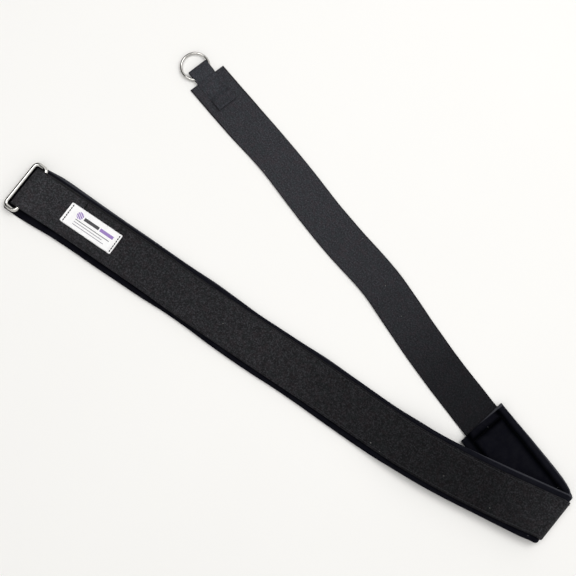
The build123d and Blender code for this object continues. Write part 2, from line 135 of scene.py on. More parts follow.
# How the cloth wanders from its straight run, as (distance, shift, half width).
WEBBING_RUN = metres((
    (0, -0.3, 24.5), (80, 0.0, 24.5), (140, -0.3, 24.2), (170, 0.0, 24.2), (200, 0.6, 24.4),
    (250, 0.9, 24.6), (290, 1.1, 24.8), (320, 0.9, 25.0), (350, 0.5, 25.0), (400, 0.2, 24.9),
    (440, 0.2, 24.9), (470, 0.6, 24.9), (500, 1.6, 25.0), (530, 1.9, 25.0), (620, 1.9, 25.0),
    (650, 1.3, 25.2), (670, 0.5, 25.0), (690, 0.3, 24.9),
))
PAD_RUN = metres((
    (0, 0.3, 31.1), (20, 0.3, 31.1), (50, 1.0, 30.6), (80, 1.0, 30.0), (110, 0.2, 29.6),
    (140, -0.4, 29.4), (170, 0.0, 29.5), (200, -0.5, 29.6), (230, -0.2, 29.9), (260, 0.3, 30.0),
    (290, 0.9, 30.0), (320, 0.4, 29.5), (350, -0.3, 29.7), (380, -0.6, 29.6), (410, 0.2, 29.9),
    (440, 1.3, 29.7), (470, 1.2, 29.4), (500, 0.7, 30.1), (530, 0.8, 30.5), (560, 0.7, 30.7),
    (590, 1.0, 30.8), (620, 1.1, 31.4), (650, 0.3, 32.5), (668, -0.8, 32.1), (675, -1.2, 31.6),
    (690, -1.2, 31.6),
))
RETURN_PAD_RUN = metres((
    (0, 0.3, 31.1), (12, 0.4, 31.1), (30, 0.6, 31.1), (60, 0.4, 31.0), (85, -0.1, 30.8),
    (110, -0.5, 30.7), (120, -0.6, 30.7),
))
STRAP_RUN = metres((
    (-70, 0.4, 23.5), (-10, 1.0, 23.5), (10, 0.8, 23.5), (30, 0.1, 23.4), (50, -0.5, 23.3),
    (70, -0.6, 23.4), (90, -0.3, 23.6), (110, 0.2, 23.5), (130, 1.0, 23.6), (150, 1.7, 23.5),
    (170, 2.3, 23.3), (190, 2.3, 23.2), (210, 1.5, 23.4), (230, 0.6, 23.5), (250, 0.3, 23.6),
    (270, 0.4, 23.4), (290, 1.0, 23.4), (310, 1.8, 23.4), (330, 2.6, 23.2), (350, 3.2, 22.9),
    (370, 3.1, 23.0), (390, 2.6, 23.4), (410, 1.8, 23.8), (430, 1.4, 24.0), (450, 1.0, 24.0),
    (484, 0.6, 24.0),
))

# ---- camera and light
CAMERA_TARGET = Vector((0.0095, 0.0006, 0.0))
CAMERA_ELEVATION = math.radians(80.0)
CAMERA_DISTANCE = 1.15
CAMERA_LENS = 64.7
WORLD_TINT = (1.0, 0.99, 0.975, 1.0)
WORLD_STRENGTH = 0.97
DARK_SIDE = (-0.814, 0.470, 0.342)
LAMPS = (
    ("key", (1.00, 0.60, 2.1), 1.3, 18.0),
    ("top", (-0.40, 0.25, 1.6), 0.6, 4.0),
)

# ---- tones; a painted light fade is (distance along the cloth, share of the tone): painted light and shade along the cloth, where the light falls on it more or less
WEBBING_PAINTED_LIGHT = (
    (-0.680, 1.00), (-0.640, 0.92), (-0.560, 0.72), (-0.350, 0.70), (-0.270, 0.52), (-0.190, 0.46),
    (-0.130, 0.38), (-0.070, 0.36), (-0.020, 0.52), (0.020, 0.70),
)
WEBBING_TINT = (0.0272, 0.0268, 0.0305)
STRAP_TINT = (0.0300, 0.0305, 0.0365)
TAB_TINT = (0.0350, 0.0365, 0.0440)
TAB_PAINTED_LIGHT = ((0.000, 0.90), (0.050, 1.0), (0.110, 0.90))
STRAP_PAINTED_LIGHT = ((0.000, 0.34), (0.060, 0.42), (0.120, 0.66), (0.200, 0.86), (0.330, 1.0), (0.484, 1.0))
WOVEN = {
    # tint, pitch along and across, lean of the floats, depth, half width where the painted edge shade
    # starts, contrast, painted light fade
    "webbing": (WEBBING_TINT, 0.0017, 0.0013, 0.5, 0.00035, WEBBING_HALF, 0.65, WEBBING_PAINTED_LIGHT),
    "strap_webbing": (STRAP_TINT, 0.0012, 0.0009, 0.6, 0.00018, STRAP_HALF, 0.38, STRAP_PAINTED_LIGHT),
    "tab_webbing": (TAB_TINT, 0.0012, 0.0009, 0.6, 0.00018, TAB_HALF + 0.0013, 0.30, TAB_PAINTED_LIGHT),
}
THREADS = {
    "thread": (0.012, 0.050),
    "channel_thread": (0.0003, 0.0010),
    "tab_thread": (0.018, 0.050),
    "sleeve_thread": (0.020, 0.050),
    "label_thread": (0.004, 0.02),
}
CHROME = (("wire_loop", "wire_chrome", 0.66), ("ring", "ring_chrome", 0.58))
SATIN_TONES = ((0.95, 0.95, 0.955, 1.0), (0.84, 0.84, 0.85, 1.0))
INK_DARK = (0.040, 0.040, 0.045, 1.0)
INK_VIOLET = (0.300, 0.190, 0.500, 1.0)
INK_PALE = (0.26, 0.25, 0.29, 1.0)
EMBLEM_PLACE = (-0.0185, 0.0045)
EMBLEM_RADIUS = 0.0043
EMBLEM_STRIPE = 0.0026
LABEL_PRINT = (
    ((-0.0025, 0.0040), (0.0200, 0.0038), INK_DARK),
    ((0.0180, 0.0040), (0.0180, 0.0038), INK_VIOLET),
    ((0.0020, -0.0015), (0.0460, 0.0008), INK_DARK),
    ((-0.0020, -0.0045), (0.0380, 0.0008), INK_PALE),
    ((0.0000, -0.0075), (0.0420, 0.0008), INK_PALE),
)
FLOOR_TONES = ((0.89, 0.885, 0.868, 1.0), (0.92, 0.915, 0.898, 1.0))

# ---- places, from the joints
JOINTS = {joint["name"]: joint for joint in frame["joints"]}
UP = Vector((0.0, 0.0, 1.0))


def joint_place(name):
    """A joint's point and the angle of its axis in the plan."""
    joint = JOINTS[name]
    axis = Vector(joint["axis"])
    return Vector(joint["pos_m"]), math.degrees(math.atan2(axis.y, axis.x))


def heading(angle):
    """Unit vector in the plan at an angle from +X, in degrees."""
    return Vector((math.cos(math.radians(angle)), math.sin(math.radians(angle)), 0.0))


def flat_angle(vector):
    """Angle of a plan vector from +X, in degrees."""
    return math.degrees(math.atan2(vector.y, vector.x))


def smooth(x):
    """Smooth step from 0 to 1."""
    x = min(max(x, 0.0), 1.0)
    return x * x * (3.0 - 2.0 * x)


def curve(table, x):
    """Smooth curve through a table's rows; the first entry of a row is its place."""
    x = min(max(x, table[0][0]), table[-1][0])
    k = 0
    while k < len(table) - 2 and x > table[k + 1][0]:
        k += 1
    around = [table[max(k - 1, 0)], table[k], table[k + 1], table[min(k + 2, len(table) - 1)]]
    gap = around[2][0] - around[1][0]
    u = (x - around[1][0]) / gap
    made = []
    for j in range(1, len(table[0])):
        a, b, c, d = (row[j] for row in around)
        start = (c - a) / max(around[2][0] - around[0][0], gap) * gap
        end = (d - b) / max(around[3][0] - around[1][0], gap) * gap
        made.append(
            b * (2.0 * u ** 3 - 3.0 * u ** 2 + 1.0) + start * (u ** 3 - 2.0 * u ** 2 + u)
            + c * (3.0 * u ** 2 - 2.0 * u ** 3) + end * (u ** 3 - u ** 2)
        )
    return made


FOLD, FOLD_ANGLE = joint_place("belt_fold")
LOOP_BAR, LOOP_ANGLE = joint_place("loop_swing")
FLEX, FLEX_ANGLE = joint_place("strap_flex")
BEND, _ = joint_place("strap_bend")
TAB_HINGE, TAB_ANGLE = joint_place("tab_swing")
RING_CENTRE, _ = joint_place("ring_turn")

STRAP_LOWER_ANGLE = flat_angle(BEND - FLEX)
STRAP_UPPER_ANGLE = TAB_ANGLE + 90.0
STRAP_LOWER_LENGTH = (BEND - FLEX).to_2d().length
STRAP_LENGTH = STRAP_LOWER_LENGTH + (TAB_HINGE - BEND).to_2d().length
RETURN_ANGLE = 2.0 * (FLEX_ANGLE + 90.0) - STRAP_LOWER_ANGLE
ARM_NEAR_ANGLE = 2.0 * FOLD_ANGLE + 180.0 - RETURN_ANGLE
ARM_FAR_ANGLE = LOOP_ANGLE + 90.0 - LOOP_SLANT
FOLD_SIDE = heading(FOLD_ANGLE + FOLD_SLANT) / math.cos(math.radians(ARM_NEAR_ANGLE - 90.0 - FOLD_ANGLE))
FOLD_OUT = heading(FOLD_ANGLE - 90.0)
ARM_START_RISE = FOLD.z + FOLD_GAP_RADIUS
RETURN_TOP = FOLD.z - FOLD_GAP_RADIUS


def put_in_scene(name, data):
    """A new object in the scene."""
    made = bpy.data.objects.new(name, data)
    bpy.context.scene.collection.objects.link(made)
    return made


def camera_and_light():
    """Camera at the view's angle and soft studio light."""
    data = bpy.data.cameras.new("camera")
    data.lens = CAMERA_LENS
    data.sensor_width = 36.0
    camera = put_in_scene("camera", data)
    away = Vector((0.0, -math.cos(CAMERA_ELEVATION), math.sin(CAMERA_ELEVATION)))
    camera.location = CAMERA_TARGET + away * CAMERA_DISTANCE
    camera.rotation_euler = (math.radians(90.0) - CAMERA_ELEVATION, 0.0, 0.0)
    bpy.context.scene.camera = camera
    bpy.context.scene.view_settings.view_transform = "Standard"
    bpy.context.scene.view_settings.look = "None"

    world = bpy.data.worlds.new("studio")
    world.use_nodes = True
    sky = Nodes(world.node_tree)
    place = sky.add("ShaderNodeTexCoord").outputs["Generated"]
    split = sky.add("ShaderNodeSeparateXYZ")
    sky.put(split.inputs[0], place)
    aim = sky.add("ShaderNodeVectorMath", operation="DOT_PRODUCT")
    sky.put(aim.inputs[0], place)
    sky.put(aim.inputs[1], DARK_SIDE)
    bright = sky.range(split.outputs[2], 0.02, 0.45, 0.22, WORLD_STRENGTH, "SMOOTHSTEP")
    shade = sky.range(aim.outputs["Value"], 0.50, 0.70, 1.0, 0.015, "SMOOTHSTEP")
    background = sky.tree.nodes["Background"]
    sky.put(background.inputs["Strength"], sky.times(bright, shade))
    sky.put(background.inputs["Color"], WORLD_TINT)
    bpy.context.scene.world = world
    for name, place, size, power in LAMPS:
        lamp_data = bpy.data.lights.new(name, "AREA")
        lamp_data.shape = "DISK"
        lamp_data.size = size
        lamp_data.energy = power
        lamp = put_in_scene(name, lamp_data)
        lamp.location = place
        lamp.rotation_euler = (CAMERA_TARGET - Vector(place)).to_track_quat("-Z", "Y").to_euler()


# ---- node helpers
class Nodes:
    """A node tree, with short ways to add what it needs."""

    def __init__(self, tree):
        self.tree = tree

    def add(self, kind, **settings):
        made = self.tree.nodes.new(kind)
        for key, value in settings.items():
            setattr(made, key, value)
        return made

    def put(self, socket, value):
        if isinstance(value, bpy.types.NodeSocket):
            self.tree.links.new(value, socket)
        else:
            socket.default_value = value

    def math(self, operation, a, b=0.0, c=0.0):
        made = self.add("ShaderNodeMath", operation=operation)
        for socket, value in zip(made.inputs, (a, b, c)):
            self.put(socket, value)
        return made.outputs[0]

    def times(self, a, b):
        return self.math("MULTIPLY", a, b)

    def plus(self, a, b):
        return self.math("ADD", a, b)

    def minus(self, a, b):
        return self.math("SUBTRACT", a, b)

    def over(self, a, b):
        return self.math("DIVIDE", a, b)

    def noise(self, vector, scale, detail=3.0, rough=0.5, stretch=None):
        if stretch:
            mapping = self.add("ShaderNodeMapping")
            self.put(mapping.inputs["Vector"], vector)
            mapping.inputs["Scale"].default_value = stretch
            vector = mapping.outputs["Vector"]
        made = self.add("ShaderNodeTexNoise")
        self.put(made.inputs["Vector"], vector)
        made.inputs["Scale"].default_value = scale
        made.inputs["Detail"].default_value = detail
        made.inputs["Roughness"].default_value = rough
        return made.outputs["Fac"]

    def range(self, value, low, high, to_low, to_high, kind="LINEAR"):
        made = self.add("ShaderNodeMapRange", interpolation_type=kind)
        for socket, part in zip(made.inputs, (value, low, high, to_low, to_high)):
            self.put(socket, part)
        return made.outputs["Result"]

    def mix(self, share, a, b, blend="MIX"):
        made = self.add("ShaderNodeMix", data_type="RGBA", blend_type=blend)
        self.put(made.inputs["Factor"], share)
        self.put(made.inputs[6], a)
        self.put(made.inputs[7], b)
        return made.outputs[2]

    def bump(self, height, distance, strength=1.0, normal=None):
        made = self.add("ShaderNodeBump")
        self.put(made.inputs["Height"], height)
        made.inputs["Distance"].default_value = distance
        made.inputs["Strength"].default_value = strength
        if normal:
            self.put(made.inputs["Normal"], normal)
        return made.outputs["Normal"]


class Shader(Nodes):
    """A material's nodes, which end at its principled shader."""

    def __init__(self, name):
        self.material = bpy.data.materials.new(name)
        self.material.use_nodes = True
        super().__init__(self.material.node_tree)
        self.principled = self.tree.nodes["Principled BSDF"]

    def cloth(self):
        """Distance along the cloth, across it, and height in its section."""
        made = self.add("ShaderNodeAttribute", attribute_name="cloth")
        split = self.add("ShaderNodeSeparateXYZ")
        self.put(split.inputs[0], made.outputs["Vector"])
        return made.outputs["Vector"], split.outputs[0], split.outputs[1], split.outputs[2]

    def position(self):
        return self.add("ShaderNodeTexCoord").outputs["Object"]

    def finish(self, color, roughness, normal, **constants):
        self.put(self.principled.inputs["Base Color"], color)
        self.put(self.principled.inputs["Roughness"], roughness)
        self.put(self.principled.inputs["Normal"], normal)
        for name, value in constants.items():
            self.put(self.principled.inputs[name.replace("_", " ")], value)
        return self.material


def grey(value):
    """A dark neutral with a little blue in it."""
    return (value, value * 1.01, value * 1.12, 1.0)


def toned(tint, share):
    """A colour made lighter or darker."""
    return (tint[0] * share, tint[1] * share, tint[2] * share, 1.0)


def woven(shader, along_pitch, across_pitch, tilt):
    """Height of a woven face, 0 to 1: columns of warp whose floats lean to and fro."""
    _, along, across, height = shader.cloth()
    place = shader.over(shader.plus(across, height), across_pitch)
    column = shader.math("FLOOR", place)
    inside = shader.minus(place, column)
    odd = shader.times(shader.math("FRACT", shader.times(column, 0.5)), 2.0)
    lean = shader.times(shader.math("MULTIPLY_ADD", odd, 2.0, -1.0), tilt)
    slant = shader.times(shader.minus(inside, 0.5), lean)
    step = shader.over(along, along_pitch)
    phase = shader.plus(shader.math("MULTIPLY_ADD", odd, 0.5, step), slant)
    rib = shader.math("SINE", shader.times(shader.math("FRACT", phase), math.pi))
    cord = shader.math("SINE", shader.times(inside, math.pi))
    rib = shader.math("POWER", rib, 0.55)
    cord = shader.math("POWER", cord, 0.45)
    return shader.times(rib, cord)


def lint(shader, vector, scale, limit):
    """Sparse pale specks, 0 or 1."""
    cells = shader.add("ShaderNodeTexVoronoi", feature="F1")
    shader.put(cells.inputs["Vector"], vector)
    cells.inputs["Scale"].default_value = scale
    dots = shader.math("LESS_THAN", cells.outputs["Distance"], limit)
    pick = shader.add("ShaderNodeSeparateColor")
    shader.put(pick.inputs[0], cells.outputs["Color"])
    rare = shader.math("GREATER_THAN", pick.outputs[0], 0.93)
    return shader.times(dots, rare)


def painted_light_fade(shader, value, table):
    """Painted light: slow change of tone along the cloth, standing for how the light falls on it, from a
    table of (distance, share) rows.
    """
    ramp = shader.add("ShaderNodeValToRGB")
    shader.put(ramp.inputs[0], shader.range(value, table[0][0], table[-1][0], 0.0, 1.0))
    stops = ramp.color_ramp.elements
    while len(stops) < len(table):
        stops.new(0.5)
    for stop, (place, share) in zip(stops, table):
        stop.position = (place - table[0][0]) / (table[-1][0] - table[0][0])
        stop.color = (share, share, share, 1.0)
    return ramp.outputs[0]


def webbing_material(name):
    """Woven webbing: its colour has painted light and shade, lighter on the raised floats and darker in the
    gaps between them.
    """
    tint, along_pitch, across_pitch, tilt, depth, half, contrast, light_fade = WOVEN[name]
    shader = Shader(name)
    vector, along, across, _ = shader.cloth()
    weave = woven(shader, along_pitch, across_pitch, tilt)
    patches = shader.noise(vector, 55.0, 3.0, 0.6)
    yarns = shader.noise(vector, 900.0, 2.0, 0.6, (0.12, 1.0, 1.0))
    light = shader.times(weave, shader.range(yarns, 0.3, 0.7, 0.75, 1.25))
    # painted light and shade: the weave's height paints raised floats lighter and the gaps between them
    # darker
    color = shader.mix(light, toned(tint, 0.30), toned(tint, 1.45))
    color = shader.mix(shader.range(patches, 0.3, 0.7, 0.0, 0.55), color, toned(tint, 0.70))
    mottle = shader.noise(vector, 620.0, 1.0, 0.6)
    color = shader.mix(shader.range(mottle, 0.34, 0.50, contrast, 0.0), color, toned(tint, 0.10))
    color = shader.mix(shader.range(mottle, 0.52, 0.68, 0.0, contrast * 0.85), color, toned(tint, 3.0))
    warm = shader.noise(vector, 210.0, 1.0, 0.5)
    reddish = (tint[0] * 1.4, tint[1], tint[2], 1.0)
    greenish = (tint[0] * 0.8, tint[1] * 1.1, tint[2], 1.0)
    color = shader.mix(shader.range(warm, 0.54, 0.68, 0.0, 0.3), color, reddish)
    color = shader.mix(shader.range(warm, 0.32, 0.46, 0.3, 0.0), color, greenish)
    # painted light: the tone, sheen and specular level fade along the cloth to follow how the light falls
    # on it
    share = painted_light_fade(shader, along, light_fade)
    color = shader.mix(1.0, color, share, "MULTIPLY")
    # painted shade: the colour darkens towards both edges, where the rounded edges turn away from the light
    painted_edge_shade = shader.range(shader.math("ABSOLUTE", across), half - 0.0016, half - 0.0004, 0.0, 0.75)
    color = shader.mix(painted_edge_shade, color, toned(tint, 0.15))
    specks = shader.times(lint(shader, vector, 160.0, 0.09), 0.5)
    color = shader.mix(specks, color, (0.35, 0.34, 0.32, 1.0))
    rough = shader.range(light, 0.0, 1.2, 0.85, 0.52)
    fine = shader.noise(vector, 3500.0, 2.0, 0.6)
    normal = shader.bump(weave, depth)
    normal = shader.bump(fine, depth * 0.35, 0.6, normal)
    return shader.finish(
        color, rough, normal,
        Sheen_Weight=shader.times(share, 0.04), Sheen_Roughness=0.45,
        Specular_IOR_Level=shader.times(share, 0.16),
    )


def valley(shader, value, middle, width):
    """1 at the middle of a channel, falling away to 0 beside it."""
    away = shader.over(shader.minus(value, middle), width)
    return shader.math("EXPONENT", shader.times(shader.times(away, away), -1.0))


def velour_material():
    """Brushed velour: near black, with a soft bluish edge sheen and a nap that lies unevenly; painted shade
    in the sewn channels, a painted highlight on the lit rims and a lighter painted margin on the lit side.
    """
    shader = Shader("velour")
    vector, along, across, _ = shader.cloth()
    wide = shader.math("ABSOLUTE", across)
    wander = shader.range(shader.noise(vector, 45.0, 2.0), 0.3, 0.7, -0.0009, 0.0009)
    rows = valley(shader, shader.plus(wide, wander), PAD_GROOVE, 0.0036)
    inside = shader.math("LESS_THAN", wide, PAD_GROOVE + 0.001)
    seam = FOLD_ARC + RETURN_LENGTH
    cross = shader.times(valley(shader, along, seam - CROSS_GROOVE, 0.0034), inside)
    # painted shade: the sewn channels are painted near black, and their sheen and specular level are
    # lowered
    shade = shader.math("MAXIMUM", rows, cross)
    # painted highlight: a thin pale line along the lit side's rim and along the padded end's rim
    lit_side_rim_highlight = shader.range(across, 0.0294, 0.0300, 0.0, 0.42)
    lit_end_rim_highlight = shader.range(along, seam - 0.0008, seam, 0.0, 0.5)
    painted_rim_highlight = shader.math("MAXIMUM", lit_side_rim_highlight, lit_end_rim_highlight)
    # painted light: the margin on the lit side only is painted a lighter bluish grey
    margin = shader.range(across, 0.0225, 0.0255, 0.0, 0.22)
    nap = shader.noise(vector, 70.0, 4.0, 0.65, (0.5, 1.0, 1.0))
    pile = shader.noise(vector, 2600.0, 3.0, 0.7)
    lumps = shader.range(shader.noise(vector, 130.0, 2.0, 0.6), 0.35, 0.68, 0.25, 1.5)
    lit = shader.times(lumps, shader.range(shade, 0.0, 0.85, 1.0, 0.02))
    color = shader.mix(nap, (0.0010, 0.0010, 0.0018, 1.0), (0.0055, 0.0056, 0.0092, 1.0))
    color = shader.mix(shader.range(pile, 0.35, 0.75, 0.0, 0.5), color, (0.0070, 0.0072, 0.0118, 1.0))
    color = shader.mix(shader.times(shade, 0.92), color, (0.0004, 0.0006, 0.0009, 1.0))
    color = shader.mix(margin, color, (0.016, 0.017, 0.024, 1.0))
    color = shader.mix(painted_rim_highlight, color, (0.085, 0.087, 0.100, 1.0))
    specks = shader.times(lint(shader, vector, 200.0, 0.08), 0.4)
    color = shader.mix(specks, color, (0.25, 0.25, 0.26, 1.0))
    rough = shader.range(pile, 0.2, 0.8, 0.98, 0.82)
    normal = shader.bump(pile, 0.0004, 0.9)
    normal = shader.bump(nap, 0.0009, 0.5, normal)
    return shader.finish(
        color, rough, normal,
        Sheen_Weight=shader.times(lit, 0.045), Sheen_Roughness=0.35,
        Sheen_Tint=(0.55, 0.60, 0.85, 1.0), Specular_IOR_Level=shader.times(lit, 0.05),
    )


def thread_material(name):
    """Bonded thread: fine slanting plies."""
    dark, light = (grey(tone) for tone in THREADS[name])
    shader = Shader(name)
    vector, along, across, _ = shader.cloth()
    turn = shader.math("MULTIPLY_ADD", along, 9000.0, across)
    ply = shader.math("MULTIPLY_ADD", shader.math("SINE", turn), 0.5, 0.5)
    fuzz = shader.noise(vector, 4000.0, 2.0)
    color = shader.mix(shader.times(ply, shader.range(fuzz, 0.3, 0.7, 0.7, 1.0)), dark, light)
    rough = shader.range(ply, 0.0, 1.0, 0.75, 0.45)
    normal = shader.bump(ply, 0.00012)
    return shader.finish(color, rough, normal, Specular_IOR_Level=0.06)


def printed_bar(shader, along, across, place, size):
    """1 inside a rectangle on the label, 0 outside."""
    a = shader.math("ABSOLUTE", shader.minus(along, place[0]))
    b = shader.math("ABSOLUTE", shader.minus(across, place[1]))
    inside = [shader.math("LESS_THAN", gap, side / 2.0) for gap, side in zip((a, b), size)]
    return shader.times(*inside)


def label_material():
    """White satin, printed with plain bars and nothing to read."""
    shader = Shader("label_satin")
    vector, along, across, _ = shader.cloth()
    satin = woven(shader, 0.0016, 0.00035, 0.9)
    dirt = shader.noise(vector, 90.0, 4.0)
    color = shader.mix(shader.range(dirt, 0.35, 0.75, 0.0, 0.4), *SATIN_TONES)
    for place, size, ink in LABEL_PRINT:
        bar = printed_bar(shader, along, across, place, size)
        color = shader.mix(shader.times(bar, 0.97), color, ink)
    disc = shader.math("LESS_THAN", away_from(shader, along, across, EMBLEM_PLACE), EMBLEM_RADIUS)
    stripe = shader.math("FRACT", shader.over(shader.plus(shader.times(along, 0.6), across), EMBLEM_STRIPE))
    emblem = shader.times(disc, shader.math("GREATER_THAN", stripe, 0.30))
    color = shader.mix(shader.times(emblem, 0.95), color, INK_VIOLET)
    rough = shader.range(satin, 0.0, 1.0, 0.62, 0.45)
    normal = shader.bump(satin, 0.00008, 0.7)
    normal = shader.bump(dirt, 0.0010, 0.35, normal)
    return shader.finish(color, rough, normal, Specular_IOR_Level=0.25)


def away_from(shader, along, across, place):
    """Distance on the label from a place on it."""
    a = shader.minus(along, place[0])
    b = shader.minus(across, place[1])
    return shader.math("SQRT", shader.plus(shader.times(a, a), shader.times(b, b)))


def chrome_material(name, tone):
    """Bright plated wire: faint drawing marks, small scratches and handling haze."""
    shader = Shader(name)
    vector = shader.position()
    haze = shader.noise(vector, 160.0, 4.0, 0.6)
    marks = shader.noise(vector, 1400.0, 3.0, 0.7, (1.0, 0.25, 1.0))
    bright = (tone, tone * 0.985, tone * 0.95, 1.0)
    dull = (tone * 0.84, tone * 0.82, tone * 0.78, 1.0)
    color = shader.mix(haze, bright, dull)
    rough = shader.plus(shader.range(haze, 0.3, 0.7, 0.05, 0.13), shader.range(marks, 0.45, 0.8, 0.0, 0.10))
    normal = shader.bump(marks, 0.00003, 0.5)
    return shader.finish(color, rough, normal, Metallic=1.0)


def floor_material():
    """Plain pale surface with hardly any texture."""
    shader = Shader("floor")
    vector = shader.position()
    cloud = shader.noise(vector, 3.0, 3.0)
    grain = shader.noise(vector, 900.0, 2.0)
    color = shader.mix(cloud, *FLOOR_TONES)
    rough = shader.range(grain, 0.3, 0.7, 0.55, 0.65)
    return shader.finish(color, rough, shader.bump(grain, 0.0001, 0.2), Specular_IOR_Level=0.2)


# ---- stations: where a section stands along the belt
class Station:
    """A section's origin, its sideways and upward vectors, and its distance along the cloth."""

    def __init__(self, origin, side, up, along, shear=0.0, spot=0.0, part="arm"):
        self.origin = origin
        self.side = side
        self.up = up
        self.along = along
        self.shear = shear
        self.spot = spot
        self.part = part

    def place(self, across, height):
        return self.origin + self.side * across + self.up * height

    def cloth(self, across, height):
        return (self.along + self.shear * across, across, height)


def arm_angle(t):
    """Heading of the padded arm, t from the fold towards the loop."""
    turned = min(max((t - ARM_NEAR_LENGTH) / ARM_TURN_LENGTH, 0.0), 1.0)
    return ARM_NEAR_ANGLE + (ARM_FAR_ANGLE - ARM_NEAR_ANGLE) * turned


def arm_plan(t):
    """Point on the arm's centre line in the plan."""
    drift = ARM_DRIFT * smooth((t - ARM_DRIFT_START) / (ARM_DRIFT_END - ARM_DRIFT_START))
    point = Vector((FOLD.x, FOLD.y, 0.0)) + heading(ARM_NEAR_ANGLE) * min(t, ARM_NEAR_LENGTH)
    point += heading(ARM_NEAR_ANGLE - 90.0) * drift
    if t > ARM_NEAR_LENGTH:
        radius = ARM_TURN_LENGTH / math.radians(ARM_NEAR_ANGLE - ARM_FAR_ANGLE)
        point -= heading(ARM_NEAR_ANGLE + 90.0) * radius
        point += heading(arm_angle(t) + 90.0) * radius
    if t > ARM_NEAR_LENGTH + ARM_TURN_LENGTH:
        point += heading(ARM_FAR_ANGLE) * (t - ARM_NEAR_LENGTH - ARM_TURN_LENGTH)
    return point


ARM_LENGTH = ARM_NEAR_LENGTH + ARM_TURN_LENGTH
ARM_LENGTH += (LOOP_BAR - arm_plan(ARM_LENGTH)).to_2d().length


def arm_rise(t):
    """Height of the pad's underside above the floor."""
    if t < ARM_PLATEAU_END:
        share = max(t - ARM_LEVEL_END, 0.0) / (ARM_PLATEAU_END - ARM_LEVEL_END)
        return ARM_START_RISE + (ARM_REST_OVER_PAD - ARM_START_RISE) * share
    if t < ARM_TOUCHDOWN:
        share = (t - ARM_PLATEAU_END) / (ARM_TOUCHDOWN - ARM_PLATEAU_END)
        return ARM_REST_OVER_PAD * (1.0 + math.cos(math.pi * share)) / 2.0
    return 0.0


def arm_station(t):
    """Section on the arm, with its origin on the pad's underside."""
    along = heading(arm_angle(t))
    slant = LOOP_SLANT * smooth((t - ARM_LENGTH + SLANT_LENGTH) / 0.020)
    square = heading(arm_angle(t) - 90.0 + slant)
    side = FOLD_SIDE.lerp(square, smooth(t / ARM_LEVEL_END))
    slope = (arm_rise(t + 0.001) - arm_rise(max(t - 0.001, 0.0))) / 0.002
    up = (UP - along * slope).normalized()
    point = arm_plan(t)
    point.z = arm_rise(t)
    return Station(point, side, up, -t, -side.dot(along), t)


def fold_station(turn):
    """Section in the fold, turn degrees round it from the arm to the return."""
    angle = math.radians(turn)
    up = UP * math.cos(angle) + FOLD_OUT * math.sin(angle)
    drift = heading(FOLD_ANGLE) * (FOLD_DRIFT * (turn / 180.0) ** 2)
    shear = -FOLD_SIDE.dot(heading(ARM_NEAR_ANGLE))
    return Station(FOLD + drift + up * FOLD_GAP_RADIUS, FOLD_SIDE, up, FOLD_MIDDLE * angle, shear, 0.0)


def return_station(t):
    """Section on the returned stretch: its pad faces up, so its own up is down."""
    along = heading(RETURN_ANGLE)
    slant = PADDED_END_SLANT * smooth((t - RETURN_LENGTH + 0.055) / 0.035)
    square = heading(RETURN_ANGLE - 90.0 + slant)
    side = FOLD_SIDE.lerp(square, smooth(t / ARM_LEVEL_END))
    drift = RETURN_DRIFT - (RETURN_DRIFT - FOLD_DRIFT) * math.exp(-t / RETURN_DRIFT_END)
    point = Vector((FOLD.x, FOLD.y, RETURN_TOP)) + heading(FOLD_ANGLE) * drift + along * t
    return Station(point, side, -UP, FOLD_ARC + t, side.dot(along), t, "return")


def spread(start, end, step):
    """Evenly spaced values from start to end."""
    count = max(1, round(abs(end - start) / step))
    return [start + (end - start) * i / count for i in range(count + 1)]


def fold_run():
    """Sections of the pieces that go round the fold, from the arm's seam to the return's."""
    run = [arm_station(t) for t in spread(SEAM, 0.0, 0.002)]
    run += [fold_station(a) for a in spread(0.0, 180.0, 6.0)[1:-1]]
    return run + [return_station(t) for t in spread(0.0, SEAM, 0.002)]


# ---- meshes
def make_object(name, vertices, faces, cloth, material, sharp=()):
    """A smooth-shaded mesh with its cloth coordinates and sharp end rings."""
    mesh = bpy.data.meshes.new(name)
    mesh.from_pydata([tuple(v) for v in vertices], [], faces)
    store = mesh.attributes.new("cloth", "FLOAT_VECTOR", "POINT")
    store.data.foreach_set("vector", [c for row in cloth for c in row])
    work = bmesh.new()
    work.from_mesh(mesh)
    bmesh.ops.recalc_face_normals(work, faces=work.faces)
    rings = [set(ring) for ring in sharp]
    for edge in work.edges:
        ends = {edge.verts[0].index, edge.verts[1].index}
        edge.smooth = not any(ends <= ring for ring in rings)
    work.to_mesh(mesh)
    work.free()
    for polygon in mesh.polygons:
        polygon.use_smooth = True
    mesh.materials.append(material)
    return put_in_scene(name, mesh)


def sweep(name, stations, section, material, relief=None):
    """Closed skin through a section's outline at each station."""
    vertices = []
    cloth = []
    for station in stations:
        for across, height in section(station):
            lift = relief(station, across, height) if relief else 0.0
            vertices.append(station.place(across, height + lift))
            cloth.append(station.cloth(across, height))
    size = len(vertices) // len(stations)
    faces = []
    for i in range(len(stations) - 1):
        for j in range(size):
            k = (j + 1) % size
            faces.append((i * size + j, i * size + k, (i + 1) * size + k, (i + 1) * size + j))
    last = (len(stations) - 1) * size
    faces.append(tuple(range(size)))
    faces.append(tuple(last + j for j in reversed(range(size))))
    rings = (range(size), range(last, last + size))
    return make_object(name, vertices, faces, cloth, material, rings)


